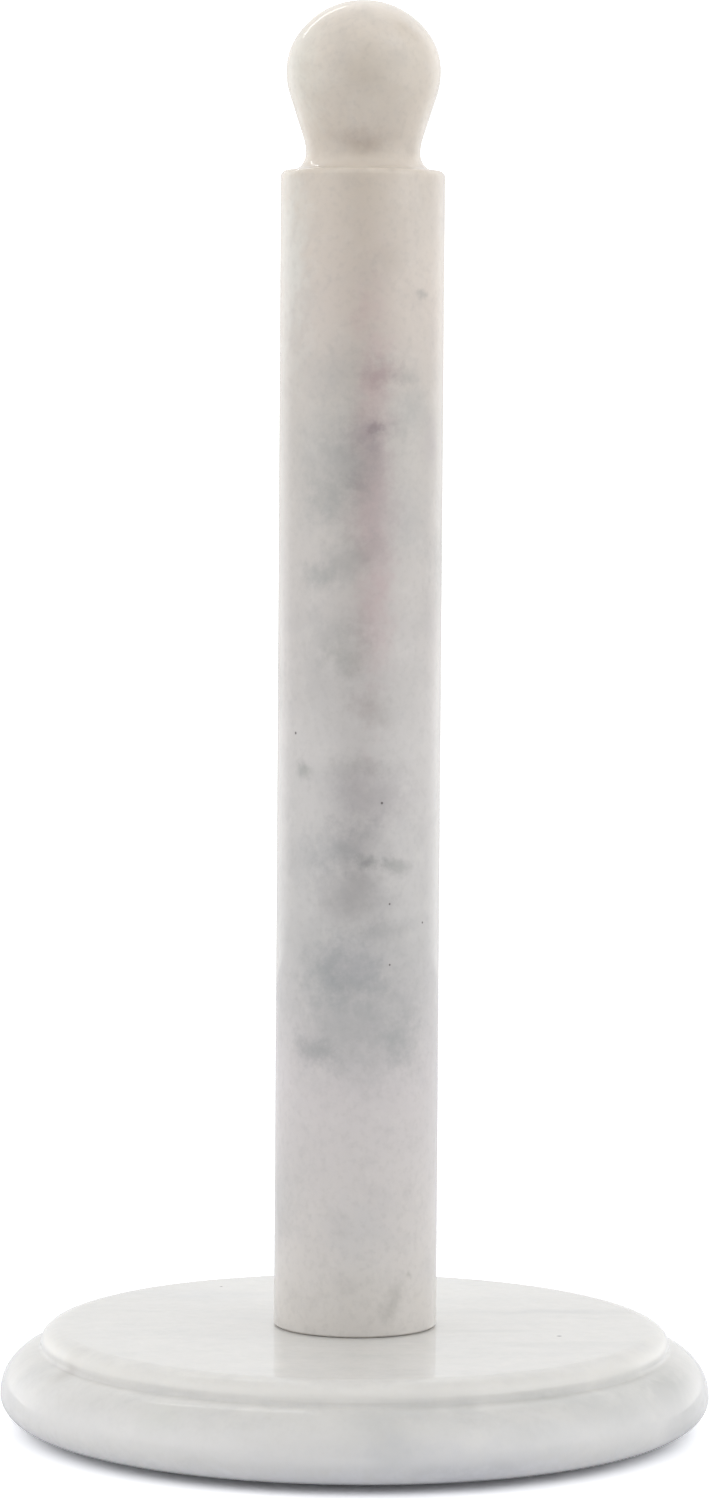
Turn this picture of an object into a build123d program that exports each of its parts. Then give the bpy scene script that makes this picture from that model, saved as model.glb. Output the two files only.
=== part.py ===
from build123d import *
import math
import os

# A free-standing paper towel holder turned from marble: a round base and a straight post whose top is
# turned into a ball knob. One bolt from under the base holds the post upright.
# Millimetres. +Z is up. The origin is on the counter, on the axis of the post.

# Overall sizes
HEIGHT = 304.8  # counter to the crown of the knob, 12 in
BASE_DIA = 152.4  # at the widest of the base's edge, 6 in
BASE_THICKNESS = 20.4
POST_DIA = 35.0

# The base's edge, from the underside up: an undercut, a bullnose, a small cove and a rounded lip
UNDERCUT_RUN = 7.9
UNDERCUT_RISE = 6.0
COVE_RADIUS = 1.0
COVE_OVERLAP = 1.0  # how far the lip's wall stands outside the centre of the bullnose
LIP_WALL = 0.5
LIP_DROP = 3.4
LIP_RUN = 5.2
SEAT_CLEARANCE = 1.0  # between the post's wall and the inner edge of the ring that a roll stands on

# The post and its knob, whose sizes are set in from the post's wall so that a roll slides past them
POST_FOOT_ROUND = 0.6
SHOULDER_ROUND = 1.4
SHOULDER_LAND = 0.6
NECK_DEPTH = 5.3
NECK_COVE_RISE = 3.6
NECK_RADIUS = 11.0
TAPER_DEGREES = 18.0
KNOB_INSET = 1.08
CROWN_FLATTENING = 1.42  # how much lower the crown is than a full ball
CROWN_SPREAD = 2.92  # from the axis to the centre of the crown's side curve

# The M6 bolt and what it clamps
BOLT_DIA = 6.0
BOLT_HEAD_FLATS = 10.0
BOLT_HEAD_HEIGHT = 4.0
BOLT_HEAD_BEVEL_DEGREES = 30.0
BOLT_TIP_BEVEL = 0.8
BOLT_HOLE_CLEARANCE = 1.0  # on the radius, in the base
THREAD_ENGAGEMENT = 13.4
THREAD_CLEARANCE = 0.05  # on the radius, in the insert
WASHER_HOLE_CLEARANCE = 0.2  # on the radius
WASHER_DIA = 18.0
FLAT_WASHER_THICKNESS = 1.6
CUSHION_THICKNESS = 1.5
SPRING_WASHER_HOLE_CLEARANCE = 0.05
SPRING_WASHER_WIDTH = 2.85
SPRING_WASHER_THICKNESS = 1.6
SPRING_WASHER_SLIT = 1.2
SPRING_WASHER_SLIT_DEGREES = 25.0
COUNTERBORE_CLEARANCE = 1.0  # on the radius, round the washers
COUNTERBORE_BEVEL = 0.5
HEAD_RECESS = 0.8  # from the bolt's head up into the base's underside

# The threaded insert, bonded into the foot of the post
INSERT_WALL = 1.95
INSERT_LENGTH = 18.0
INSERT_RECESS = 1.0
INSERT_GROOVES = 3
INSERT_GROOVE_WIDTH = 2.0
INSERT_GROOVE_DEPTH = 0.5
INSERT_BEVEL = 0.4
RESIN_THICKNESS = 0.5
SOCKET_TIP_ROOM = 2.0

# The feet
FOOT_COUNT = 4
FOOT_DIA = 12.0
FOOT_HEIGHT = 1.5
FOOT_ROUND = 0.4
FOOT_SETBACK = 8.3  # from the edge of the flat underside to the foot
FIRST_FOOT_DEGREES = 45.0

# Levels, from the counter up
UNDERSIDE = FOOT_HEIGHT
WIDEST = UNDERSIDE + UNDERCUT_RISE
SEAT = UNDERSIDE + BASE_THICKNESS
STACK = BOLT_HEAD_HEIGHT + SPRING_WASHER_THICKNESS + FLAT_WASHER_THICKNESS + CUSHION_THICKNESS
COUNTERBORE_FLOOR = UNDERSIDE + HEAD_RECESS + STACK
INSERT_BOTTOM = SEAT + INSERT_RECESS
SOCKET_TOP = INSERT_BOTTOM + INSERT_LENGTH + SOCKET_TIP_ROOM

# Radii, from the axis out
BASE_R = BASE_DIA / 2
FLAT_R = BASE_R - UNDERCUT_RUN
POST_R = POST_DIA / 2
KNOB_R = POST_R - KNOB_INSET
CROWN_RISE = KNOB_R - CROWN_FLATTENING
WAIST_R = POST_R - NECK_DEPTH
BOLT_R = BOLT_DIA / 2
INSERT_BORE_R = BOLT_R + THREAD_CLEARANCE
INSERT_R = INSERT_BORE_R + INSERT_WALL
SOCKET_R = INSERT_R + RESIN_THICKNESS
WASHER_R = WASHER_DIA / 2
WASHER_HOLE_R = BOLT_R + WASHER_HOLE_CLEARANCE
COUNTERBORE_R = WASHER_R + COUNTERBORE_CLEARANCE
BASE_HOLE_R = BOLT_R + BOLT_HOLE_CLEARANCE


def turned(outline):
    """The solid that a closed outline of (radius, height) edges sweeps about the axis."""
    return revolve(Plane.XZ * make_face(outline), Axis.Z, clean=False)


def ring(inner_r, outer_r, low, high):
    """A plain ring or sleeve about the axis."""
    corners = [(inner_r, low), (outer_r, low), (outer_r, high), (inner_r, high)]
    return turned([Polyline(*corners, close=True)])


def base():
    """The round base: a moulded edge, the bolt's hole, and the counterbore that hides its head."""
    # The bullnose is the circle that meets the cove on one side and the widest level on the other.
    cove_level = SEAT - LIP_DROP - LIP_WALL
    cove_run = COVE_OVERLAP + COVE_RADIUS
    bullnose = math.hypot(cove_level - WIDEST, cove_run) - COVE_RADIUS
    bullnose_x = BASE_R - bullnose
    wall_r = bullnose_x + COVE_OVERLAP
    lean = math.degrees(math.atan2(cove_level - WIDEST, cove_run))

    lip = EllipticalCenterArc((wall_r - LIP_RUN, SEAT - LIP_DROP), LIP_RUN, LIP_DROP, arc_size=90)
    cove = CenterArc((wall_r + COVE_RADIUS, cove_level), COVE_RADIUS, 180, lean)
    edge = CenterArc((bullnose_x, WIDEST), bullnose, 0, lean)
    undercut = EllipticalCenterArc((FLAT_R, WIDEST), UNDERCUT_RUN, UNDERCUT_RISE, 270, arc_size=90)
    top = Polyline((BASE_HOLE_R, SEAT), (POST_R + SEAT_CLEARANCE, SEAT), (wall_r - LIP_RUN, SEAT))
    bottom = Polyline(
        (FLAT_R, UNDERSIDE),
        (COUNTERBORE_R + COUNTERBORE_BEVEL, UNDERSIDE),
        (COUNTERBORE_R, UNDERSIDE + COUNTERBORE_BEVEL),
        (COUNTERBORE_R, COUNTERBORE_FLOOR),
        (BASE_HOLE_R, COUNTERBORE_FLOOR),
        (BASE_HOLE_R, SEAT),
    )
    wall = Line((wall_r, SEAT - LIP_DROP), (wall_r, cove_level))
    return turned([top, lip, wall, cove, edge, undercut, bottom])


def post():
    """The straight post with its neck and knob in one piece, and the blind socket in its foot."""
    lean = math.radians(TAPER_DEGREES)
    widest = HEIGHT - CROWN_RISE
    # Up from the waist: the neck's curve, a straight taper, the lower half of a ball and the flatter crown.
    neck_run = NECK_RADIUS * (1 - math.cos(lean))
    ball_run = KNOB_R * (1 - math.cos(lean))
    ball_level = widest - KNOB_R * math.sin(lean)
    taper_level = ball_level - (KNOB_R - WAIST_R - neck_run - ball_run) / math.tan(lean)
    waist_level = taper_level - NECK_RADIUS * math.sin(lean)
    shoulder = waist_level - NECK_COVE_RISE
    cove_r = POST_R - SHOULDER_ROUND - SHOULDER_LAND

    foot = CenterArc((POST_R - POST_FOOT_ROUND, SEAT + POST_FOOT_ROUND), POST_FOOT_ROUND, 270, 90)
    side = Line((POST_R, SEAT + POST_FOOT_ROUND), (POST_R, shoulder - SHOULDER_ROUND))
    edge = CenterArc((POST_R - SHOULDER_ROUND, shoulder - SHOULDER_ROUND), SHOULDER_ROUND, 0, 90)
    land = Line((POST_R - SHOULDER_ROUND, shoulder), (cove_r, shoulder))
    cove = EllipticalCenterArc((cove_r, waist_level), cove_r - WAIST_R, NECK_COVE_RISE, 180, arc_size=90)
    neck = CenterArc((WAIST_R + NECK_RADIUS, waist_level), NECK_RADIUS, 180 - TAPER_DEGREES, TAPER_DEGREES)
    taper = Line((WAIST_R + neck_run, taper_level), (KNOB_R - ball_run, ball_level))
    ball = CenterArc((0, widest), KNOB_R, -TAPER_DEGREES, TAPER_DEGREES)
    # The crown is two curves that meet in line: one down its side and a flatter one over its top.
    side_r = KNOB_R - CROWN_SPREAD
    top_r = (side_r**2 - CROWN_SPREAD**2 - CROWN_RISE**2) / (2 * (side_r - CROWN_RISE))
    meeting = math.degrees(math.atan2(top_r - CROWN_RISE, CROWN_SPREAD))
    crown_side = CenterArc((CROWN_SPREAD, widest), side_r, 0, meeting)
    crown_top = CenterArc((0, HEIGHT - top_r), top_r, meeting, 90 - meeting)
    core = Polyline(
        (0, HEIGHT),
        (0, SOCKET_TOP),
        (SOCKET_R, SOCKET_TOP),
        (SOCKET_R, SEAT),
        (POST_R - POST_FOOT_ROUND, SEAT),
    )
    return turned([foot, side, edge, land, cove, neck, taper, ball, crown_side, crown_top, core])


def threaded_insert():
    """The brass sleeve in the post's foot. Grooves round it key it into the resin."""
    sleeve = ring(INSERT_BORE_R, INSERT_R, INSERT_BOTTOM, INSERT_BOTTOM + INSERT_LENGTH)
    sleeve = chamfer(sleeve.edges().filter_by(GeomType.CIRCLE), INSERT_BEVEL)
    pitch = INSERT_LENGTH / (INSERT_GROOVES + 1)
    for n in range(INSERT_GROOVES):
        low = INSERT_BOTTOM + (n + 1) * pitch - INSERT_GROOVE_WIDTH / 2
        sleeve -= ring(INSERT_R - INSERT_GROOVE_DEPTH, SOCKET_R, low, low + INSERT_GROOVE_WIDTH)
    return sleeve


def insert_resin():
    """The cured resin that fills the socket round the insert, its grooves as well."""
    top = INSERT_BOTTOM + INSERT_LENGTH
    return ring(INSERT_R - INSERT_GROOVE_DEPTH, SOCKET_R, INSERT_BOTTOM, top) - threaded_insert()


def clamp_bolt():
    """The hexagon bolt that draws the post down on the base. Its thread is a plain cylinder."""
    head_bottom = UNDERSIDE + HEAD_RECESS
    head_top = head_bottom + BOLT_HEAD_HEIGHT
    tip = INSERT_BOTTOM + THREAD_ENGAGEMENT
    flats_r = BOLT_HEAD_FLATS / 2
    corner_r = flats_r / math.cos(math.pi / 6)
    bevel = (corner_r - flats_r) * math.tan(math.radians(BOLT_HEAD_BEVEL_DEGREES))
    hexagon = Plane.XY.offset(head_bottom) * RegularPolygon(flats_r, 6, major_radius=False)
    # The turned blank that the hexagon is cut from takes the corners off the head's outer end.
    blank = Polyline(
        (0, head_bottom),
        (flats_r, head_bottom),
        (corner_r, head_bottom + bevel),
        (corner_r, head_top),
        (0, head_top),
        close=True,
    )
    shank = Polyline(
        (0, head_top),
        (BOLT_R, head_top),
        (BOLT_R, tip - BOLT_TIP_BEVEL),
        (BOLT_R - BOLT_TIP_BEVEL, tip),
        (0, tip),
        close=True,
    )
    head = extrude(hexagon, BOLT_HEAD_HEIGHT) & turned([blank])
    return head + turned([shank])


def spring_washer():
    """The split lock washer, clamped flat on the bolt's head."""
    low = UNDERSIDE + HEAD_RECESS + BOLT_HEAD_HEIGHT
    inner_r = BOLT_R + SPRING_WASHER_HOLE_CLEARANCE
    outer_r = inner_r + SPRING_WASHER_WIDTH
    washer = ring(inner_r, outer_r, low, low + SPRING_WASHER_THICKNESS)
    slit = Box(2 * SPRING_WASHER_WIDTH, SPRING_WASHER_SLIT, 4 * SPRING_WASHER_THICKNESS)
    middle = ((inner_r + outer_r) / 2, 0, low + SPRING_WASHER_THICKNESS / 2)
    return washer - Pos(*middle) * Rot(X=SPRING_WASHER_SLIT_DEGREES) * slit


def flat_washer():
    """The wide steel washer that spreads the bolt's pull."""
    low = COUNTERBORE_FLOOR - CUSHION_THICKNESS - FLAT_WASHER_THICKNESS
    return ring(WASHER_HOLE_R, WASHER_R, low, low + FLAT_WASHER_THICKNESS)


def cushion_washer():
    """The rubber washer that keeps the steel off the marble."""
    return ring(WASHER_HOLE_R, WASHER_R, COUNTERBORE_FLOOR - CUSHION_THICKNESS, COUNTERBORE_FLOOR)


def foot(number):
    """One of the rubber feet stuck under the base, evenly spaced round it."""
    radius = FOOT_DIA / 2
    side = Polyline((0, 0), (0, FOOT_HEIGHT), (radius, FOOT_HEIGHT), (radius, FOOT_ROUND))
    bottom = Line((radius - FOOT_ROUND, 0), (0, 0))
    pad = turned([side, CenterArc((radius - FOOT_ROUND, FOOT_ROUND), FOOT_ROUND, 270, 90), bottom])
    out = FLAT_R - FOOT_SETBACK - radius
    return Rot(Z=FIRST_FOOT_DEGREES + number * 360 / FOOT_COUNT) * Pos(out, 0, 0) * pad


parts = {
    "base": base(),
    "post": post(),
    "threaded_insert": threaded_insert(),
    "insert_resin": insert_resin(),
    "clamp_bolt": clamp_bolt(),
    "spring_washer": spring_washer(),
    "flat_washer": flat_washer(),
    "cushion_washer": cushion_washer(),
}
for number in range(FOOT_COUNT):
    parts[f"foot_{number + 1}"] = foot(number)

os.makedirs("parts", exist_ok=True)
for name, part in parts.items():
    export_step(part, f"parts/{name}.step")
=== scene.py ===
# %% [markdown]
# # A turned marble paper towel holder
# The holder is a round moulded base and a straight post with a ball knob, both turned from marble and
# polished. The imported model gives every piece's place and size, so it is loaded first and kept as the
# frame. Pieces could also be drawn by eye, but working from the frame keeps each one where it fits.

# %% Load the frame
import math

import bmesh
import bpy
from mathutils import Matrix, Vector


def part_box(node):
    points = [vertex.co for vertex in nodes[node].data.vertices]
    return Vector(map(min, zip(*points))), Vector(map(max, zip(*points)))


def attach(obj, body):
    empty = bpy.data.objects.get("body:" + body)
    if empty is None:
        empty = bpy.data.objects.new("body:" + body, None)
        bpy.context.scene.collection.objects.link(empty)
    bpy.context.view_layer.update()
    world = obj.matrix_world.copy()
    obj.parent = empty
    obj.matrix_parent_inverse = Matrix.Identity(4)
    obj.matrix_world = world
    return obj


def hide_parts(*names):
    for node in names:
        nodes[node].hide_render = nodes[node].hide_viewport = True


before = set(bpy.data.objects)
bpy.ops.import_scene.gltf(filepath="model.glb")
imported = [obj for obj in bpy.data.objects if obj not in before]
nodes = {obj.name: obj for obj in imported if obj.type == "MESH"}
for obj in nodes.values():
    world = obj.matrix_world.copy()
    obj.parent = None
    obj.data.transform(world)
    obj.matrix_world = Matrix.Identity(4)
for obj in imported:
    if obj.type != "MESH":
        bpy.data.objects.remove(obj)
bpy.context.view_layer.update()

MM = 0.001


# %% [markdown]
# ## The camera
# The holder is seen from a little above its middle, from about a metre away. A long lens at that distance
# keeps the post's sides almost parallel. The camera looks slightly down and is turned by under half a
# degree about its own line of sight. A lens shift could frame the holder as well, but a plain tilt
# keeps every other view centred.

# %% Set up the camera
CAMERA_DISTANCE = 1099.5 * MM
CAMERA_HEIGHT = 221.35 * MM
CAMERA_TILT = math.radians(3.935)
CAMERA_TURN = math.radians(0.0386)
CAMERA_ROLL = math.radians(0.40)
FOCAL_LENGTH = 123.78
SENSOR_WIDTH = 36.0

camera = bpy.data.objects.new("camera", bpy.data.cameras.new("camera"))
camera.data.lens = FOCAL_LENGTH
camera.data.sensor_width = SENSOR_WIDTH
camera.matrix_world = (
    Matrix.Translation((0, -CAMERA_DISTANCE, CAMERA_HEIGHT))
    @ Matrix.Rotation(CAMERA_TURN, 4, "Z")
    @ Matrix.Rotation(math.pi / 2 - CAMERA_TILT, 4, "X")
    @ Matrix.Rotation(CAMERA_ROLL, 4, "Z")
)
bpy.context.scene.collection.objects.link(camera)
bpy.context.scene.camera = camera
print("camera at, m:", [round(c, 3) for c in camera.location])


# %% [markdown]
# ## Drawing an outline
# Stone like this is turned: the blank spins, and a shaped wheel cuts one outline all the way round. So
# each piece starts as an outline in the plane of the axis, and the outline starts as one vertex.
# Extruding that vertex draws a straight run, and a short spin about a centre draws a round one. A curve
# object could hold the outline too, but a spin is exactly round without any handles to set.

# %% Helpers for the outline
QUARTER = 90


def start_outline(across, height):
    """A new mesh with one vertex, the outline's tip, at a distance from the axis and a height in mm."""
    bm = bmesh.new()
    return bm, bm.verts.new((across * MM, 0, height * MM))


def run_to(bm, tip, across, height):
    """Draws a straight run from the tip, and returns the new tip."""
    tip = bmesh.ops.extrude_vert_indiv(bm, verts=[tip])["verts"][0]
    tip.co = (across * MM, 0, height * MM)
    return tip


def swing(bm, tip, centre, degrees, steps, squeeze=1.0):
    """Swings the tip about a centre, by degrees from outwards to upwards. A squeeze makes an oval arc."""
    middle = Vector((centre[0] * MM, 0, centre[1] * MM))
    tip.co.z = middle.z + (tip.co.z - middle.z) / squeeze
    before = len(bm.verts)
    drawn = bmesh.ops.spin(
        bm, geom=[tip], cent=middle, axis=(0, -1, 0), dvec=(0, 0, 0),
        angle=math.radians(degrees), steps=steps, use_duplicate=False,
    )
    bm.verts.ensure_lookup_table()
    bmesh.ops.scale(
        bm, verts=[tip] + bm.verts[before:], vec=(1, 1, squeeze), space=Matrix.Translation(-middle),
    )
    return [part for part in drawn["geom_last"] if isinstance(part, bmesh.types.BMVert)][0]


# %% [markdown]
# ## Turning the outline
# The finished outline is spun through a full turn. Its seam, and any end on the axis, is welded, and the
# skin is smoothed except at real corners. Cylinders with bevels could be used, but each curve would need
# a cut of its own. The turned piece then stands in for the frame's own plain solid.

# %% The lathe
WELD_DISTANCE = 0.001
REAL_CORNER = 35


def turn(bm, name, segments, middle=(0, 0)):
    """Spins the outline through a full turn, closes it and makes it a smooth piece."""
    bmesh.ops.spin(
        bm, geom=bm.verts[:] + bm.edges[:], cent=(0, 0, 0), axis=(0, 0, 1), dvec=(0, 0, 0),
        angle=2 * math.pi, steps=segments, use_merge=True, use_duplicate=False,
    )
    bmesh.ops.remove_doubles(bm, verts=bm.verts, dist=WELD_DISTANCE * MM)
    bmesh.ops.recalc_face_normals(bm, faces=bm.faces)
    bmesh.ops.translate(bm, verts=bm.verts, vec=(middle[0] * MM, middle[1] * MM, 0))
    mesh = bpy.data.meshes.new(name)
    bm.to_mesh(mesh)
    open_edges = sum(edge.is_boundary for edge in bm.edges)
    volume = bm.calc_volume() / MM**3
    bm.free()
    mesh.shade_smooth()
    mesh.set_sharp_from_angle(angle=math.radians(REAL_CORNER))
    piece = bpy.data.objects.new(name, mesh)
    bpy.context.scene.collection.objects.link(piece)
    print(f"{name}: {len(mesh.polygons)} faces, {open_edges} open edges, {volume:.0f} mm3")
    return piece


def stands_for(piece, node):
    """The piece takes the place of the frame's own plain solid."""
    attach(piece, "root")
    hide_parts(node)


# %% [markdown]
# ## Measuring the base
# The base is a thick disc. From the top down its edge has a soft rounded lip, a small cove, a full
# bullnose whose widest place is low down, and an undercut that lifts the edge off the counter. The
# bullnose's radius could be one more given size. It is worked out instead, so that the cove and the
# bullnose always meet in line.

# %% Sizes of the base, in mm
UNDERCUT_RUN, UNDERCUT_RISE = 7.9, 6.0
LIP_RUN, LIP_DROP, LIP_WALL = 5.2, 3.4, 0.5
COVE_R, COVE_OVERLAP = 1.0, 1.0

base_low, base_high = (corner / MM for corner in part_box("base"))
base_r, underside, seat = base_high.x, base_low.z, base_high.z
widest = underside + UNDERCUT_RISE
cove_level = seat - LIP_DROP - LIP_WALL
bullnose_r = math.hypot(cove_level - widest, COVE_OVERLAP + COVE_R) - COVE_R
bullnose_x = base_r - bullnose_r
lip_wall_x = bullnose_x + COVE_OVERLAP
meeting = math.degrees(math.atan2(cove_level - widest, COVE_OVERLAP + COVE_R))
flat_r = base_r - UNDERCUT_RUN
print(f"base: {2 * base_r:.1f} mm across, {seat - underside:.1f} thick, bullnose {bullnose_r:.2f} radius")


# %% [markdown]
# ## Cutting the base
# The outline goes from the bolt's hole over the top, down the edge, in along the underside and up the
# counterbore to the hole again, so that the turned skin closes on itself. The hole could be cut out of a
# finished disc, but a ring drawn in one go needs no cut.

# %% Draw and turn the base
BASE_SEGMENTS = 288
LIP_STEPS, COVE_STEPS, BULLNOSE_STEPS, UNDERCUT_STEPS = 24, 12, 32, 24
BOLT_HOLE_R, COUNTERBORE_R, COUNTERBORE_BEVEL = 4.0, 10.0, 0.5

counterbore_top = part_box("cushion_washer")[1].z / MM
lip_centre = (lip_wall_x - LIP_RUN, seat - LIP_DROP)
bm, tip = start_outline(BOLT_HOLE_R, seat)
tip = run_to(bm, tip, lip_wall_x - LIP_RUN, seat)
tip = swing(bm, tip, lip_centre, -QUARTER, LIP_STEPS, squeeze=LIP_DROP / LIP_RUN)
tip = run_to(bm, tip, lip_wall_x, cove_level)
tip = swing(bm, tip, (lip_wall_x + COVE_R, cove_level), meeting, COVE_STEPS)
tip = swing(bm, tip, (bullnose_x, widest), -meeting, BULLNOSE_STEPS)
tip = swing(bm, tip, (flat_r, widest), -QUARTER, UNDERCUT_STEPS, squeeze=UNDERCUT_RISE / UNDERCUT_RUN)
tip = run_to(bm, tip, COUNTERBORE_R + COUNTERBORE_BEVEL, underside)
tip = run_to(bm, tip, COUNTERBORE_R, underside + COUNTERBORE_BEVEL)
tip = run_to(bm, tip, COUNTERBORE_R, counterbore_top)
tip = run_to(bm, tip, BOLT_HOLE_R, counterbore_top)
run_to(bm, tip, BOLT_HOLE_R, seat)
base = turn(bm, "moulded_base", BASE_SEGMENTS)
stands_for(base, "base")


# %% [markdown]
# ## Measuring the post and its knob
# The post is one straight stick of marble with its top turned to a knob: a small edge at the shoulder, a
# cove into a narrow neck, a straight taper, the lower part of a ball and a slightly flattened crown. The
# knob could be a plain ball set on a cone, but there would be a kink where they meet. Here each curve's
# ends are worked out from its neighbours, so the highlights run on without a break.

# %% Sizes of the post and knob, in mm
SHOULDER_ROUND, SHOULDER_LAND = 1.4, 0.6
NECK_DEPTH, NECK_COVE_RISE, NECK_R, TAPER = 5.3, 3.6, 11.0, 18.0
KNOB_INSET, CROWN_FLATTENING, CROWN_SPREAD = 1.08, 1.42, 2.92

post_low, post_high = (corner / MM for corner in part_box("post"))
post_r, foot, post_top = post_high.x, post_low.z, post_high.z
knob_r = post_r - KNOB_INSET
waist_r = post_r - NECK_DEPTH
crown_rise = knob_r - CROWN_FLATTENING
knob_level = post_top - crown_rise
lean = math.radians(TAPER)
ball_foot_r = knob_r * math.cos(lean)
ball_foot = knob_level - knob_r * math.sin(lean)
neck_top_r = waist_r + NECK_R * (1 - math.cos(lean))
waist = ball_foot - (ball_foot_r - neck_top_r) / math.tan(lean) - NECK_R * math.sin(lean)
shoulder = waist - NECK_COVE_RISE
neck_cove_r = post_r - SHOULDER_ROUND - SHOULDER_LAND - waist_r
crown_side = knob_r - CROWN_SPREAD
crown_top = (crown_side**2 - CROWN_SPREAD**2 - crown_rise**2) / (2 * (crown_side - crown_rise))
crown_angle = math.degrees(math.atan2(crown_top - crown_rise, CROWN_SPREAD))
print(f"post: {2 * post_r:.1f} mm across, shoulder at {shoulder:.1f}, knob {2 * knob_r:.1f} across")


# %% [markdown]
# ## Cutting the post
# The outline starts inside, at the top of the blind socket for the bolt's insert. It goes down the
# socket, out under the foot, up the side and over the knob to the axis. The hidden socket could be left
# out, but the frame's insert and resin stand in it. The foot's edge is eased a little, as a mason would
# with a rubbing stone, so that it doesn't chip.

# %% Draw and turn the post
POST_SEGMENTS = 224
EASE_STEPS, SHOULDER_STEPS, NECK_COVE_STEPS, NECK_STEPS = 8, 12, 16, 8
BALL_STEPS, CROWN_SIDE_STEPS, CROWN_TOP_STEPS = 8, 16, 24
FOOT_EASE, SOCKET_SPACE = 0.6, 2.0

socket_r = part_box("insert_resin")[1].x / MM
socket_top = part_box("threaded_insert")[1].z / MM + SOCKET_SPACE
neck_cove_centre = (waist_r + neck_cove_r, waist)
bm, tip = start_outline(0, socket_top)
tip = run_to(bm, tip, socket_r, socket_top)
tip = run_to(bm, tip, socket_r, foot)
tip = run_to(bm, tip, post_r - FOOT_EASE, foot)
tip = swing(bm, tip, (post_r - FOOT_EASE, foot + FOOT_EASE), QUARTER, EASE_STEPS)
tip = run_to(bm, tip, post_r, shoulder - SHOULDER_ROUND)
tip = swing(bm, tip, (post_r - SHOULDER_ROUND, shoulder - SHOULDER_ROUND), QUARTER, SHOULDER_STEPS)
tip = run_to(bm, tip, waist_r + neck_cove_r, shoulder)
tip = swing(bm, tip, neck_cove_centre, -QUARTER, NECK_COVE_STEPS, squeeze=NECK_COVE_RISE / neck_cove_r)
tip = swing(bm, tip, (waist_r + NECK_R, waist), -TAPER, NECK_STEPS)
tip = run_to(bm, tip, ball_foot_r, ball_foot)
tip = swing(bm, tip, (0, knob_level), TAPER, BALL_STEPS)
tip = swing(bm, tip, (CROWN_SPREAD, knob_level), crown_angle, CROWN_SIDE_STEPS)
tip = swing(bm, tip, (0, post_top - crown_top), QUARTER - crown_angle, CROWN_TOP_STEPS)
tip.co = (0, 0, post_top * MM)
post = turn(bm, "post_and_knob", POST_SEGMENTS)
stands_for(post, "post")


# %% [markdown]
# ## The feet
# Four thin rubber pads keep the stone off the counter. Each is a flat round with a softened lower edge.
# One pad could be drawn and copied, but turning each in its own place leaves every piece separate, with
# its own size from the frame.

# %% Draw and turn the feet
FOOT_COUNT = 4
FOOT_SEGMENTS = 64
PAD_ROUND, PAD_ROUND_STEPS = 0.4, 6

feet = []
for number in range(1, FOOT_COUNT + 1):
    low, high = (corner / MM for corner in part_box(f"foot_{number}"))
    pad_r = (high.x - low.x) / 2
    bm, tip = start_outline(0, high.z)
    tip = run_to(bm, tip, pad_r, high.z)
    tip = run_to(bm, tip, pad_r, low.z + PAD_ROUND)
    tip = swing(bm, tip, (pad_r - PAD_ROUND, low.z + PAD_ROUND), -QUARTER, PAD_ROUND_STEPS)
    run_to(bm, tip, 0, low.z)
    pad = turn(bm, f"rubber_foot_{number}", FOOT_SEGMENTS, middle=((low + high) / 2).xy)
    stands_for(pad, f"foot_{number}")
    feet.append(pad)


# %% [markdown]
# ## Building materials from nodes
# Every finish is made of nodes that read the piece's own coordinates, so a pattern runs through the solid
# as it does in real stone. A picture could be wrapped round the piece instead, but it would show a join.
# One small function adds a node with its settings and links. Colours are picked as screen hex values, and
# another function turns them to linear light by the screen's own curve.

# %% Material helpers
# the mixing node has several sockets of one name, so they are called by their numbers
FACTOR, COLOUR_A, COLOUR_B, MIXED_COLOUR = 0, 6, 7, 2
# the screen's own curve is straight near black, and a power of the value above that
BRIGHTEST_VALUE = 255
STRAIGHT_END, STRAIGHT_SLOPE = 0.04045, 12.92
CURVE_SHIFT, CURVE_SPAN, CURVE_POWER = 0.055, 1.055, 2.4


def linear(hex_colour):
    """A screen colour such as "E8E4DC" as linear red, green, blue and alpha."""
    channels = [int(hex_colour[place:place + 2], 16) / BRIGHTEST_VALUE for place in (0, 2, 4)]
    return [
        c / STRAIGHT_SLOPE if c <= STRAIGHT_END else ((c + CURVE_SHIFT) / CURVE_SPAN) ** CURVE_POWER
        for c in channels
    ] + [1.0]


def add(tree, kind, inputs, **settings):
    """Adds one node with its settings. An input takes a value, or a link from another node's output."""
    node = tree.nodes.new(kind)
    for name, value in settings.items():
        setattr(node, name, value)
    for name, value in inputs.items():
        if isinstance(value, bpy.types.NodeSocket):
            tree.links.new(value, node.inputs[name])
        else:
            node.inputs[name].default_value = value
    return node


def new_material(name):
    """An empty material: itself, its node tree and its surface shader."""
    material = bpy.data.materials.new(name)
    material.use_nodes = True
    return material, material.node_tree, material.node_tree.nodes["Principled BSDF"]


def dress(piece, material):
    """Gives a piece its one material."""
    piece.data.materials.clear()
    piece.data.materials.append(material)


# %% [markdown]
# ## Marble: the stone's own space
# White marble is grown calcite with clouds of grey dust in it, and the beds were bent while the stone was
# hot. So the space that the clouds lie in is bent first, by noise. A second, finer noise frays their
# edges. Clouds in straight space could be warped one by one, but then neighbours wouldn't flow together.

# %% Bent space and frayed edges
BEND_DETAIL, BEND_ROUGHNESS = 6.0, 0.62
GRAIN_SIZE, GRAIN_DETAIL, GRAIN_ROUGHNESS = 4.0, 5.0, 0.7
NOISE_LOW, NOISE_MIDDLE, NOISE_HIGH = 0.25, 0.5, 0.75


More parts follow.
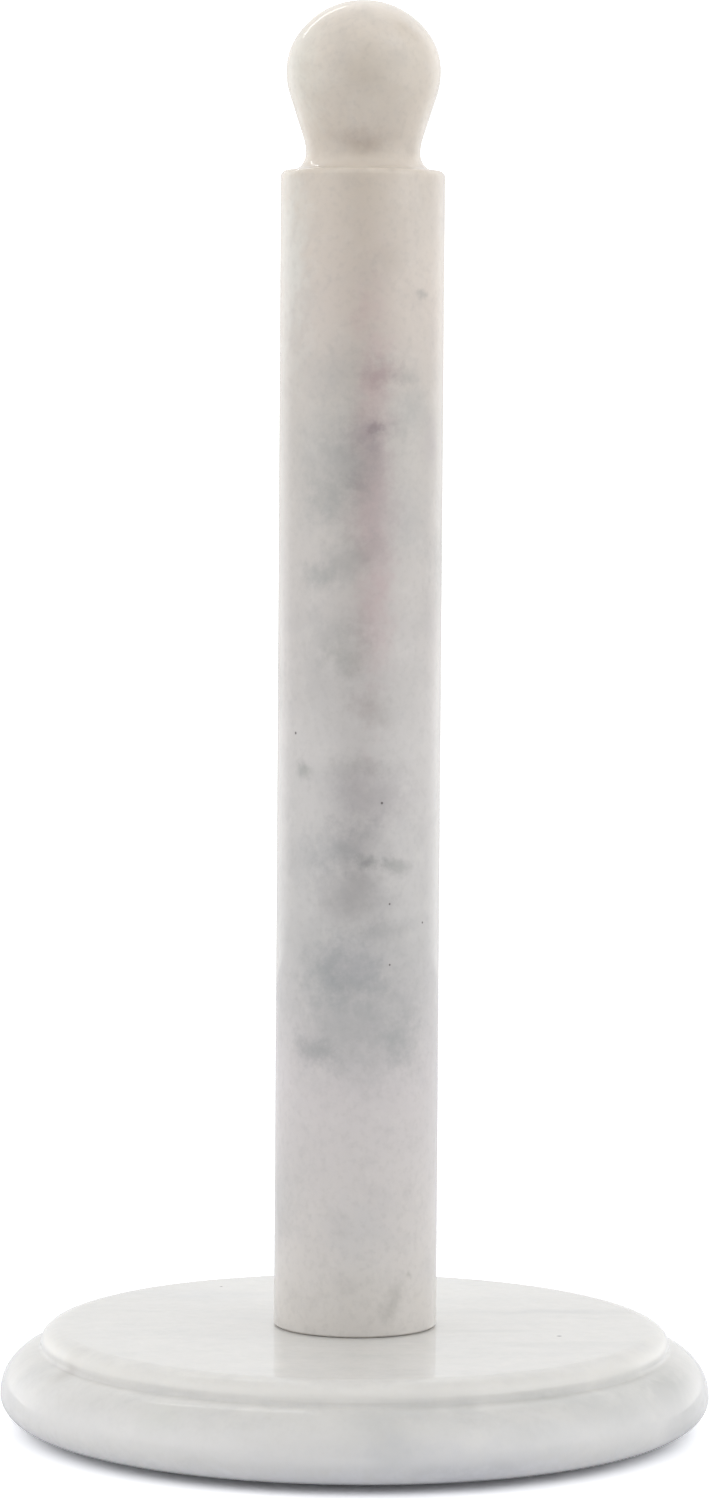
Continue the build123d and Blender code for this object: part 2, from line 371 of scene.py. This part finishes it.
def stone_place(tree, bend, bend_size, ragged):
    """The place in mm, plain and bent by noise, and a fine grain that breaks up the clouds' edges."""
    place = add(tree, "ShaderNodeTexCoord", {}).outputs["Object"]
    plain = add(tree, "ShaderNodeVectorMath", {0: place, 1: (1 / MM,) * 3}, operation="MULTIPLY").outputs[0]
    noise = add(
        tree, "ShaderNodeTexNoise",
        {"Vector": plain, "Scale": 1 / bend_size, "Detail": BEND_DETAIL, "Roughness": BEND_ROUGHNESS},
    )
    shift = add(
        tree, "ShaderNodeVectorMath", {0: noise.outputs["Color"], 1: (NOISE_MIDDLE,) * 3},
        operation="SUBTRACT",
    )
    bent = add(
        tree, "ShaderNodeVectorMath", {0: shift.outputs[0], 1: (bend,) * 3, 2: plain},
        operation="MULTIPLY_ADD",
    )
    grain = add(
        tree, "ShaderNodeTexNoise",
        {"Vector": plain, "Scale": 1 / GRAIN_SIZE, "Detail": GRAIN_DETAIL, "Roughness": GRAIN_ROUGHNESS},
    )
    broken = add(
        tree, "ShaderNodeMapRange",
        {"Value": grain.outputs[0], "From Min": NOISE_LOW, "From Max": NOISE_HIGH,
         "To Min": -ragged, "To Max": ragged},
    )
    return plain, bent.outputs[0], broken.outputs[0]


# %% [markdown]
# ## Marble: clouds and rings
# Noise alone can't put a dark cloud where this stone has one, so the clouds that give this holder its look
# are placed one by one, as soft ovals. A ring is an oval so wide that it takes in the whole stone at one
# level. The coves and the lowest edge would shade themselves too dark, and a pale ring lifts them. A lamp
# could lift them too, but it would show in the polish.

# %% Laying a cloud or a ring
CLOUD_FADE = 1.35
WHOLE_RING = 2000.0


def lay_cloud(tree, place, ragged, below, centre, reach, turned, colour, strength):
    """Lays an oval of another colour over the colour so far. It fades out a little past its half sizes."""
    reach = [half * CLOUD_FADE for half in reach]
    local = add(
        tree, "ShaderNodeMapping",
        {"Vector": place, "Location": centre, "Rotation": turned, "Scale": reach}, vector_type="TEXTURE",
    )
    far = add(tree, "ShaderNodeVectorMath", {0: local.outputs[0]}, operation="LENGTH")
    rough_far = add(tree, "ShaderNodeMath", {0: far.outputs["Value"], 1: ragged}, operation="ADD")
    amount = add(
        tree, "ShaderNodeMapRange",
        {"Value": rough_far.outputs[0], "From Min": 1.0, "From Max": 0.0, "To Min": 0.0, "To Max": strength},
        interpolation_type="SMOOTHSTEP",
    )
    laid = add(
        tree, "ShaderNodeMix", {FACTOR: amount.outputs[0], COLOUR_A: below, COLOUR_B: linear(colour)},
        data_type="RGBA",
    )
    return laid.outputs[MIXED_COLOUR]


def lay_ring(tree, plain, ragged, below, level, reach, colour, strength):
    """Lays a band of another colour right round the stone, centred on one level."""
    return lay_cloud(
        tree, plain, ragged, below, centre=(0, 0, level), reach=(WHOLE_RING, WHOLE_RING, reach),
        turned=(0, 0, 0), colour=colour, strength=strength,
    )


# %% [markdown]
# ## Marble: specks and drifts
# Between the clouds the stone still varies: drifts a few centimetres wide, wisps of about a centimetre
# and a fine mottle of crystals, each a layer of noise of a real size. The crystals are mostly under a
# millimetre across, which is too fine to show, so their mottle is drawn a little coarser. Rare dark
# grains sit on top. They could come from noise too, but a few placed ones look less regular.

# %% Laying a speck or a drift
SPECK_COLOUR, SPECK_STRENGTH = "3E3635", 0.8
SPECK_FULL, SPECK_END = 0.5, 1.3
DRIFT_DETAIL, DRIFT_ROUGHNESS = 4.0, 0.55


def lay_speck(tree, plain, below, centre, size):
    """Lays one small dark speck, a mineral grain, over the colour so far."""
    away = add(tree, "ShaderNodeVectorMath", {0: plain, 1: centre}, operation="DISTANCE")
    amount = add(
        tree, "ShaderNodeMapRange",
        {"Value": away.outputs["Value"], "From Min": size * SPECK_END, "From Max": size * SPECK_FULL,
         "To Min": 0.0, "To Max": SPECK_STRENGTH},
    )
    laid = add(
        tree, "ShaderNodeMix", {FACTOR: amount.outputs[0], COLOUR_A: below, COLOUR_B: linear(SPECK_COLOUR)},
        data_type="RGBA",
    )
    return laid.outputs[MIXED_COLOUR]


def drift(tree, place, below, size, low, high, colour, strength):
    """Lays noise of a real size in mm over the colour so far."""
    noise = add(
        tree, "ShaderNodeTexNoise",
        {"Vector": place, "Scale": 1 / size, "Detail": DRIFT_DETAIL, "Roughness": DRIFT_ROUGHNESS},
    )
    amount = add(
        tree, "ShaderNodeMapRange",
        {"Value": noise.outputs[0], "From Min": low, "From Max": high, "To Min": 0.0, "To Max": strength},
        interpolation_type="SMOOTHSTEP",
    )
    laid = add(
        tree, "ShaderNodeMix", {FACTOR: amount.outputs[0], COLOUR_A: below, COLOUR_B: linear(colour)},
        data_type="RGBA",
    )
    return laid.outputs[MIXED_COLOUR]


# %% [markdown]
# ## Marble: polish and glow
# Hand polish gives the eye a clean sheen that isn't quite even, and reflections that waver a little. The
# waves could be modelled, but they are only thousandths of a millimetre deep, so a bump is enough. Light
# also sinks a few millimetres into marble and comes out warmer. That softens the shading, and without it
# the stone would look painted.

# %% Polish and glow
GLOSS_PATCH, GLOSS_PATCH_DETAIL = 12, 3.0
PATCH_LOW, PATCH_HIGH = 0.3, 0.7
SMOOTHEST, ROUGHEST = 0.8, 1.3
WAVE_SIZE, WAVE_DETAIL, WAVE_DEPTH = 9, 2.0, 0.006
STONE_IOR = 1.5
GLOW_SHARE, GLOW_DEPTH, GLOW_TINT = 0.5, 2.0, (1.0, 0.95, 0.85)


def polish(tree, shader, plain, roughness):
    """Hand polish: a low gloss that varies a little, and waves too shallow to see but in reflections."""
    patches = add(
        tree, "ShaderNodeTexNoise", {"Vector": plain, "Scale": 1 / GLOSS_PATCH, "Detail": GLOSS_PATCH_DETAIL},
    )
    gloss = add(
        tree, "ShaderNodeMapRange",
        {"Value": patches.outputs[0], "From Min": PATCH_LOW, "From Max": PATCH_HIGH,
         "To Min": roughness * SMOOTHEST, "To Max": roughness * ROUGHEST},
    )
    waves = add(tree, "ShaderNodeTexNoise", {"Vector": plain, "Scale": 1 / WAVE_SIZE, "Detail": WAVE_DETAIL})
    bump = add(
        tree, "ShaderNodeBump", {"Height": waves.outputs[0], "Strength": 1.0, "Distance": WAVE_DEPTH * MM},
    )
    tree.links.new(gloss.outputs[0], shader.inputs["Roughness"])
    tree.links.new(bump.outputs[0], shader.inputs["Normal"])
    shader.inputs["IOR"].default_value = STONE_IOR
    shader.inputs["Subsurface Weight"].default_value = GLOW_SHARE
    shader.inputs["Subsurface Radius"].default_value = GLOW_TINT
    shader.inputs["Subsurface Scale"].default_value = GLOW_DEPTH * MM


# %% [markdown]
# ## The post's marble: its layers
# This is a polished beige and grey marble. It gives the eye a warm cream knob that cools to grey further
# down. A plain blend from top to bottom could do that, but the stone changes in uneven steps, so its colour
# is given at each level where it turns. The last level, at the crown's top, is made paler as painted light
# from above.

# %% Layers of the post
POST_BEND, POST_BEND_SIZE, POST_RAGGED = 8.0, 11.0, 0.34
POST_LAYERS = [
    # height in mm, colour
    (20, "DCD8D3"), (75, "D3CECD"), (105, "C5C3C1"), (155, "CDC9C6"), (175, "C9C4C0"), (215, "C6C1BB"),
    # painted light: the last stop makes the crown's top paler, as light from above would
    (240, "CEC4BB"), (267, "D0C6BA"), (272, "CFC5B9"), (290, "D1C8BC"), (303, "E8DFD4"),
]

post_marble, tree, shader = new_material("polished_beige_grey_marble")
plain, bent, ragged = stone_place(tree, bend=POST_BEND, bend_size=POST_BEND_SIZE, ragged=POST_RAGGED)
level = add(tree, "ShaderNodeSeparateXYZ", {0: bent})
height = add(tree, "ShaderNodeMapRange", {"Value": level.outputs["Z"], "From Min": 0.0, "From Max": post_top})
layers = add(tree, "ShaderNodeValToRGB", {"Fac": height.outputs[0]})
ramp = layers.color_ramp
ready_made = len(ramp.elements)
for number, (layer_height, colour) in enumerate(POST_LAYERS):
    stop = ramp.elements[number] if number < ready_made else ramp.elements.new(layer_height / post_top)
    stop.position = layer_height / post_top
    stop.color = linear(colour)
colour = layers.outputs[0]
print("post layers:", len(ramp.elements))


# %% [markdown]
# ## The post's marble: its clouds
# A faint mauve streak runs down the front, and grey clouds cross it. Each cloud is given by how far round the
# post it lies, its height, its half sizes and lean, its colour and its strength. They could be scattered by
# chance, but this stone is known by where its darkest ones are. The sides and the back are clouded in the
# same manner, a little more thinly. Three pale clouds high on the left and right of the post are painted
# light, where the tent's side walls brighten it.

# %% Clouds of the post
CLOUD_DEPTH = 11.0
POST_CLOUDS = [
    # degrees round, height, half width and half height in mm, lean in degrees, colour, strength
    (9, 199, 5.0, 46, 0, "C2A5A8", 0.46),
    (-1, 274.6, 10.0, 3.2, 0, "9A887E", 0.38),
    # painted light: the next three pale clouds lighten the left and right of the upper post and knob, as the
    # side walls light them
    (-60, 290, 8.0, 14.0, 0, "DEDED5", 0.50),
    (-61, 250, 7.5, 26.0, 0, "D9DAD4", 0.55),
    (50, 254, 10.0, 22.0, 0, "DCD4CB", 0.45),
    (4, 285, 7.0, 5.5, 0, "B3AA9E", 0.16),
    (40, 298, 4.0, 3.0, 30, "AF9E89", 0.26),
    (20, 250, 4.5, 4.0, 0, "B2A79B", 0.22),
    (47, 242.4, 1.6, 1.3, 0, "8D8C89", 0.40),
    (-20, 226, 8.0, 5.0, 0, "A7A6A4", 0.30),
    (13, 226, 3.6, 3.6, 0, "998185", 0.41),
    (31, 226, 4.0, 2.2, 0, "969593", 0.34),
    (5, 214, 5.0, 4.0, 0, "95838A", 0.26),
    (12, 214.4, 1.5, 1.2, 0, "6E5A62", 0.42),
    (33, 218, 7.0, 5.5, -20, "A2A3A1", 0.34),
    (58, 212, 5.0, 5.0, 0, "AFA7AA", 0.30),
    (-14, 207, 13.0, 14.0, -38, "999A99", 0.34),
    (-4, 209, 7.0, 6.0, 0, "8C8B8D", 0.24),
    (-22, 200, 8.0, 5.0, -30, "8C8E8D", 0.32),
    (35, 195, 8.0, 9.0, 0, "AFAEAE", 0.30),
    (-14, 186.5, 11.0, 4.2, -20, "909190", 0.33),
    (-32, 184, 4.0, 3.0, 0, "8F9291", 0.30),
    (-24, 171, 9.0, 8.0, 0, "A4A3A1", 0.30),
    (-34, 160, 9.0, 10.0, 0, "A5A29F", 0.28),
    (33, 158, 8.0, 9.0, 0, "AAA7A4", 0.24),
    (-9, 166.5, 5.5, 6.5, 0, "94958F", 0.28),
    (12, 155, 5.0, 4.2, 0, "979690", 0.22),
    (-41, 142, 2.8, 2.2, 0, "777A75", 0.41),
    (3, 143.6, 8.0, 2.2, 0, "A09E99", 0.26),
    (8, 137, 11.0, 7.5, 0, "938B90", 0.36),
    (-4, 127, 9.0, 6.0, 0, "8C898D", 0.34),
    (-28, 125, 9.0, 6.0, -25, "9A9C9E", 0.34),
    (6, 122.9, 3.0, 2.0, 0, "737475", 0.42),
    (26, 122, 3.8, 2.0, 0, "737473", 0.38),
    (-6, 116, 9.0, 8.0, 0, "8C888A", 0.36),
    (18, 108.5, 8.0, 2.6, -8, "959596", 0.34),
    (-3, 100.5, 7.5, 8.0, 0, "878A92", 0.34),
    (-25, 99, 6.0, 6.0, 0, "9A9E9F", 0.34),
    (0, 90, 19.0, 14.0, 0, "999C9C", 0.44),
    (-32, 82.7, 5.5, 3.2, 0, "868A8B", 0.38),
    (35, 85, 5.0, 6.0, 0, "969B9B", 0.30),
    (2, 45, 10.0, 8.0, 0, "BBBEC1", 0.22),
    (0, 33, 9.0, 7.0, 0, "CACAC4", 0.10),
    (42, 35.0, 1.4, 1.0, 0, "919289", 0.34),
    (26, 29.5, 2.4, 5.5, 25, "A5A39E", 0.36),
    # the sides and the back
    (105, 262, 7.0, 12.0, 15, "AFA79B", 0.34),
    (90, 188, 9.0, 16.0, 30, "999A99", 0.38),
    (130, 120, 8.0, 20.0, 20, "909293", 0.38),
    (100, 60, 9.0, 9.0, 0, "AEAFAE", 0.34),
    (165, 222, 9.0, 10.0, -25, "949391", 0.38),
    (190, 150, 10.0, 14.0, 25, "97959A", 0.38),
    (180, 78, 8.0, 16.0, -15, "9A9D9F", 0.38),
    (215, 252, 6.0, 9.0, 0, "ACA295", 0.34),
    (235, 196, 8.0, 16.0, -20, "959695", 0.38),
    (255, 110, 9.0, 15.0, 15, "919396", 0.38),
    (275, 160, 8.0, 9.0, 0, "9F9C9A", 0.34),
    (290, 50, 8.0, 10.0, 20, "B1B2B1", 0.34),
]


def on_post(around, up):
    """The place on the post's skin, by degrees round from the front and mm up."""
    angle = math.radians(around)
    return post_r * math.sin(angle), -post_r * math.cos(angle), up


for around, up, half_width, half_height, tilt, cloud_colour, strength in POST_CLOUDS:
    colour = lay_cloud(
        tree, bent, ragged, colour, centre=on_post(around, up),
        reach=(half_width, CLOUD_DEPTH, half_height),
        turned=(0, math.radians(tilt), math.radians(around)), colour=cloud_colour, strength=strength,
    )
print("post clouds:", len(POST_CLOUDS))


# %% [markdown]
# ## The post's marble: mottle, specks and painted shade
# The drifts, wisps and crystals go over the clouds, then the pale ring of painted light that lifts the shade
# in the neck's cove, and a few dark grains. Last comes a thin brown line of painted shade where the post
# stands on the base, for the shadow in the crease under the post's eased foot. It is only half a millimetre
# high, so it is a band of colour at the foot.

# %% Mottle, specks and painted shade of the post
POST_DRIFTS = [
    # space, size in mm, where it starts and is full, colour, strength
    (bent, 30.0, 0.45, 0.72, "A6A6A6", 0.12),
    (bent, 8.0, 0.48, 0.75, "9B9B9D", 0.14),
    (bent, 6.0, 0.50, 0.85, "E4E1DC", 0.20),
    (plain, 1.4, 0.45, 0.75, "989694", 0.12),
]
POST_PAINTED_LIGHT_RINGS = [
    # height and half height in mm, colour, strength
    # painted light: a pale ring that lifts the shade in the neck's cove
    (shoulder + 1.2, 2.4, "E6DCD0", 0.55),
]
POST_SPECKS = [
    # degrees round, height and size in mm
    (16.3, 135.7, 0.28), (22.5, 114.3, 0.22), (51.5, 109.9, 0.24), (22.9, 101.4, 0.22),
    (140, 205.0, 0.35), (200, 95.0, 0.40), (250, 235.0, 0.30), (310, 150.0, 0.30),
]
# painted shade: a thin dark brown band at the post's foot, for the contact shadow where it stands on the base
FOOT_SHADE_TOP, FOOT_SHADE_FULL, FOOT_SHADE_COLOUR, FOOT_SHADE_STRENGTH = 0.55, 0.15, "5E4C3A", 0.35
POST_ROUGHNESS = 0.06

for space, *look in POST_DRIFTS:
    colour = drift(tree, space, colour, *look)
for ring in POST_PAINTED_LIGHT_RINGS:
    colour = lay_ring(tree, plain, ragged, colour, *ring)
for around, up, size in POST_SPECKS:
    colour = lay_speck(tree, plain, colour, on_post(around, up), size)
level = add(tree, "ShaderNodeSeparateXYZ", {0: plain})
seam = add(
    tree, "ShaderNodeMapRange",
    {"Value": level.outputs["Z"], "From Min": foot + FOOT_SHADE_TOP, "From Max": foot + FOOT_SHADE_FULL,
     "To Min": 0.0, "To Max": FOOT_SHADE_STRENGTH},
)
foot_shaded = add(
    tree, "ShaderNodeMix", {FACTOR: seam.outputs[0], COLOUR_A: colour, COLOUR_B: linear(FOOT_SHADE_COLOUR)},
    data_type="RGBA",
)
tree.links.new(foot_shaded.outputs[MIXED_COLOUR], shader.inputs["Base Color"])
polish(tree, shader, plain, POST_ROUGHNESS)
dress(post, post_marble)
print("post marble nodes:", len(tree.nodes))


# %% [markdown]
# ## The base's marble: its clouds
# This is a polished white marble, from a cooler and cleaner block. It gives the eye a bright even disc that
# makes the post look warm beside it. Faint streaks lie across its top, a few grey clouds sit on the right of
# its edge, and a blue-grey cloud lies low at the front, partly the stone's own tint and partly painted shade
# where the bullnose turns down towards the floor. Both stones could share one material, but then the post's
# beige would be lost.

# %% Clouds of the base
BASE_GROUND = "D7D6D3"
BASE_BEND, BASE_BEND_SIZE, BASE_RAGGED = 9.0, 14.0, 0.22
BASE_CLOUDS = [
    # centre and half sizes in mm, lean in degrees, colour, strength
    ((44, 16, 22), (26, 3.0, 5), 3, "B4B6B8", 0.41),
    ((28, -8, 22), (13, 2.2, 5), 2, "BBBCBC", 0.38),
    ((43, -22, 22), (20, 3.5, 5), 4, "C0C1C0", 0.38),
    ((-34, 34, 22), (16, 8.0, 5), -6, "C3C8CE", 0.34),
    ((-22, 6, 22), (6, 7.0, 5), 0, "C9CBCD", 0.30),
    ((-59.5, -32, 18), (6, 5, 4), 25, "9D968F", 0.36),
    ((14, -67, 18.5), (8, 6, 4), 0, "A9ABAA", 0.34),
    ((22, -65, 18.5), (4, 5, 3), 0, "A0A2A2", 0.34),
    ((38, -56, 18.5), (14, 7, 4), 30, "A2A6A4", 0.36),
    ((56, -38, 18.5), (8, 9, 4), 40, "9FA3A0", 0.38),
    ((66, -29, 11), (12, 14, 10), 0, "8F9392", 0.56),
    ((52, -50, 12), (18, 12, 9), 0, "B2B5B4", 0.45),
    ((5, -73, 14), (9, 7, 7), 0, "B2B4B3", 0.38),
    # partly painted shade: this blue-grey cloud is partly the stone's tint and partly the shade low on the
    # front of the bullnose
    ((20, -71, 5), (46, 14, 6.5), 0, "A9ADB9", 0.42),
    ((9, -76, 9), (7, 8, 4), 0, "A0A5A8", 0.34),
    ((38, -66, 10), (16, 8, 3), 0, "AEB2B2", 0.38),
    ((-40, -64, 13), (5, 5, 5), 0, "C5C9BF", 0.34),
    # the sides and the back
    ((-70, 20, 14), (8, 12, 7), 0, "A7ACAD", 0.38),
    ((-40, 62, 14), (12, 8, 8), 0, "A3A5A6", 0.38),
    ((20, 68, 12), (16, 8, 7), 0, "ABAFB1", 0.38),
    ((66, 34, 14), (8, 12, 7), 0, "A8AAAB", 0.34),
]
BEDDING_STRETCH, BEDDING_LEAN = 4.5, 4

base_marble, tree, shader = new_material("polished_white_marble")
plain, bent, ragged = stone_place(tree, bend=BASE_BEND, bend_size=BASE_BEND_SIZE, ragged=BASE_RAGGED)
colour = linear(BASE_GROUND)
bedding = add(
    tree, "ShaderNodeMapping",
    {"Vector": bent, "Scale": (BEDDING_STRETCH, 1.0, 1.0), "Rotation": (0, 0, math.radians(BEDDING_LEAN))},
    vector_type="TEXTURE",
)
for centre, reach, tilt, cloud_colour, strength in BASE_CLOUDS:
    colour = lay_cloud(
        tree, bent, ragged, colour, centre=centre, reach=reach, turned=(0, 0, math.radians(tilt)),
        colour=cloud_colour, strength=strength,
    )
print("base clouds:", len(BASE_CLOUDS))


# %% [markdown]
# ## The base's marble: bedding and specks
# The block was sawn along its bedding, so its streaks run across the top. They could be drawn one by one, but
# noise stretched sideways gives them all at once. Pale rings of painted light lift the shade in the cove, on
# the bullnose and on the lowest edge.

# %% Bedding and specks of the base
BASE_DRIFTS = [
    # space, size in mm, where it starts and is full, colour, strength
    (bedding.outputs[0], 12.0, 0.45, 0.75, "B4B7BA", 0.19),
    (bedding.outputs[0], 3.0, 0.45, 0.75, "BCBDBD", 0.09),
    (bent, 10.0, 0.50, 0.80, "E9E7E1", 0.25),
    (plain, 1.6, 0.45, 0.75, "B5B3B0", 0.10),
]
BASE_PAINTED_LIGHT_RINGS = [
    # height and half height in mm, colour, strength
    # painted light: pale rings that lift the shade in the cove, on the bullnose and on the lowest edge
    (cove_level + 1.5, 2.7, "ECEAE5", 0.60),
    (widest + 2.0, 5.5, "E8E7E6", 0.45),
    (underside, 3.8, "F4F4F8", 0.45),
]
BASE_SPECKS = [
    # centre and size in mm
    ((43.5, -13, 21.9), 0.55), ((-11, -75.6, 10.5), 0.35), ((-30, 45, 21.9), 0.35), ((60, 45, 15), 0.40),
]
BASE_ROUGHNESS = 0.04

for space, *look in BASE_DRIFTS:
    colour = drift(tree, space, colour, *look)
for ring in BASE_PAINTED_LIGHT_RINGS:
    colour = lay_ring(tree, plain, ragged, colour, *ring)
for centre, size in BASE_SPECKS:
    colour = lay_speck(tree, plain, colour, centre, size)
tree.links.new(colour, shader.inputs["Base Color"])
polish(tree, shader, plain, BASE_ROUGHNESS)
dress(base, base_marble)
print("base marble nodes:", len(tree.nodes))


# %% [markdown]
# ## Rubber, steel, brass and resin
# The pieces underneath show only when the holder is turned over. Moulded rubber gives the eye a dull
# near-black, zinc-plated steel a cool grey glint, turned brass a warm yellow one, and cured resin a
# cloudy honey. Flat colours could do for pieces so small, but a fine grain keeps them from looking
# printed. The real grain is too fine to show, so it is drawn about half a millimetre wide, and two in
# the resin. One recipe serves all four.

# %% Small materials
SMALL_DETAIL = 4.0
SMALL_SMOOTHEST, SMALL_ROUGHEST = 0.8, 1.2


def fine_grained(name, light, dark, grain, roughness, metallic, depth):
    """A plain finish with a fine grain: colour, gloss and a shallow bump from one noise."""
    material, tree, shader = new_material(name)
    place = add(tree, "ShaderNodeTexCoord", {}).outputs["Object"]
    noise = add(
        tree, "ShaderNodeTexNoise", {"Vector": place, "Scale": 1 / (grain * MM), "Detail": SMALL_DETAIL},
    )
    tint = add(
        tree, "ShaderNodeMix", {FACTOR: noise.outputs[0], COLOUR_A: linear(light), COLOUR_B: linear(dark)},
        data_type="RGBA",
    )
    gloss = add(
        tree, "ShaderNodeMapRange",
        {"Value": noise.outputs[0], "To Min": roughness * SMALL_SMOOTHEST,
         "To Max": roughness * SMALL_ROUGHEST},
    )
    bump = add(
        tree, "ShaderNodeBump", {"Height": noise.outputs[0], "Strength": 1.0, "Distance": depth * MM},
    )
    tree.links.new(tint.outputs[MIXED_COLOUR], shader.inputs["Base Color"])
    tree.links.new(gloss.outputs[0], shader.inputs["Roughness"])
    tree.links.new(bump.outputs[0], shader.inputs["Normal"])
    shader.inputs["Metallic"].default_value = metallic
    return material


SMALL_FINISHES = [
    # name, light, dark, grain in mm, roughness, metallic, depth in mm
    ("moulded_rubber", "2C2C2E", "222224", 0.4, 0.7, 0.0, 0.02),
    ("zinc_plated_steel", "C9CBCC", "AFB2B5", 0.6, 0.32, 1.0, 0.004),
    ("turned_brass", "D9B56A", "C7A258", 0.5, 0.3, 1.0, 0.004),
    ("cured_resin", "C9B98A", "B5A478", 2.0, 0.35, 0.0, 0.02),
]
rubber, steel, brass, resin = (fine_grained(*finish) for finish in SMALL_FINISHES)
for pad in feet:
    dress(pad, rubber)
for node, material in (
    ("cushion_washer", rubber), ("clamp_bolt", steel), ("spring_washer", steel), ("flat_washer", steel),
    ("threaded_insert", brass), ("insert_resin", resin),
):
    dress(nodes[node], material)
    print(node, "is", material.name)


# %% [markdown]
# ## The studio: a white tent
# The holder stands in a white tent. Each wall of the tent is one soft glow round a direction, so no edge
# of a lamp shows in the polish: bright sides, a bright back, a weaker pair to the left and right of the
# camera, and a roof. Almost nothing shines from behind the camera. Lamps and white cards could do the
# same, but then each card's edge would need softening. Behind the holder the camera sees plain white.

# %% The tent
bpy.context.scene.view_settings.view_transform = "Standard"
WHITE = (1, 1, 1, 1)
TENT_WALLS = [
    # direction, where the glow starts and is full (as the cosine of the angle to it), strength
    ((0, 1, 0.05), 0.3, 0.9, 1.02),
    ((1, 0, 0), 0.25, 0.95, 1.08),
    ((-1, 0, 0), 0.25, 0.95, 1.10),
    ((0.8, -0.6, 0.15), 0.55, 1.0, 0.78),
    ((-0.8, -0.6, 0.15), 0.55, 1.0, 0.68),
    ((0, 0, 1), 0.4, 0.95, 0.74),
]

world = bpy.data.worlds.new("white_tent")
world.use_nodes = True
bpy.context.scene.world = world
tree = world.node_tree
tent = tree.nodes["Background"]
way = add(tree, "ShaderNodeTexCoord", {}).outputs["Generated"]
glow = add(tree, "ShaderNodeLightPath", {}).outputs["Is Camera Ray"]
for direction, start, full, strength in TENT_WALLS:
    towards = add(
        tree, "ShaderNodeVectorMath", {0: way, 1: Vector(direction).normalized()}, operation="DOT_PRODUCT",
    )
    wall = add(
        tree, "ShaderNodeMapRange",
        {"Value": towards.outputs["Value"], "From Min": start, "From Max": full, "To Max": strength},
        interpolation_type="SMOOTHSTEP",
    )
    glow = add(tree, "ShaderNodeMath", {0: glow, 1: wall.outputs[0]}, operation="ADD").outputs[0]
tree.links.new(glow, tent.inputs["Strength"])
tent.inputs["Color"].default_value = WHITE
print("tent walls:", len(TENT_WALLS))


# %% [markdown]
# ## The studio: a rim lamp
# One thin lamp hangs behind the knob, above and to its left. It draws a fine bright line along the
# ball's upper left edge. A round lamp could do it, but that would leave a spot. It hangs close to the
# knob, because from further off it would also put a streak on the base's edge.

# %% The rim lamp
# places and sizes in metres
RIM_START = Vector((-0.256, 0.248, 0.467))
RIM_END = Vector((-0.064, 0.278, 0.565))
INSIDE_KNOB = Vector((0, 0, 0.285))
RIM_WIDTH = 0.012
RIM_GLOW = 5.0


def strip_lamp(name, start, end, width, faces, radiance):
    """A long thin soft lamp from one point to another, turned to face a third."""
    middle = (start + end) / 2
    away = (middle - faces).normalized()
    across = away.cross(end - start).normalized()
    along = across.cross(away)
    length = (end - start).length
    lamp = bpy.data.lights.new(name, "AREA")
    lamp.shape = "RECTANGLE"
    lamp.size = length
    lamp.size_y = width
    lamp.energy = radiance * math.pi * length * width
    holder = bpy.data.objects.new(name, lamp)
    holder.matrix_world = Matrix.Translation(middle) @ Matrix((along, across, away)).transposed().to_4x4()
    bpy.context.scene.collection.objects.link(holder)
    print(name, "at, m:", [round(c, 2) for c in middle])


strip_lamp("rim_lamp", RIM_START, RIM_END, RIM_WIDTH, INSIDE_KNOB, RIM_GLOW)


# %% [markdown]
# ## The studio: the floor
# The floor is a disc of plain, pale, matt paper. It catches the soft shadow that shows the base standing
# on it. Paper this pale would still come out grey, so it is exposed until it turns white: the camera
# sees it lighter than it truly is, while the light it throws back on the stone is that of real paper. A
# stronger lamp could whiten it too, but would wash out the stone.

# %% The floor
# radius in metres, colours in linear light
FLOOR_RADIUS, FLOOR_SIDES = 0.8, 96
TRUE_PAPER = (0.86, 0.87, 0.90, 1)
EXPOSED_PAPER = (1.5, 1.51, 1.54, 1)

floor_bm = bmesh.new()
bmesh.ops.create_circle(floor_bm, cap_ends=True, segments=FLOOR_SIDES, radius=FLOOR_RADIUS)
floor_mesh = bpy.data.meshes.new("studio_floor")
floor_bm.to_mesh(floor_mesh)
floor_bm.free()
floor = bpy.data.objects.new("studio_floor", floor_mesh)
bpy.context.scene.collection.objects.link(floor)
floor_paper, tree, shader = new_material("floor_paper")
ray = add(tree, "ShaderNodeLightPath", {})
paper = add(
    tree, "ShaderNodeMix",
    {FACTOR: ray.outputs["Is Camera Ray"], COLOUR_A: TRUE_PAPER, COLOUR_B: EXPOSED_PAPER},
    data_type="RGBA",
)
matt = add(tree, "ShaderNodeBsdfDiffuse", {"Color": paper.outputs[MIXED_COLOUR]})
tree.links.new(matt.outputs[0], tree.nodes["Material Output"].inputs["Surface"])
dress(floor, floor_paper)
print("floor across, m:", 2 * FLOOR_RADIUS)
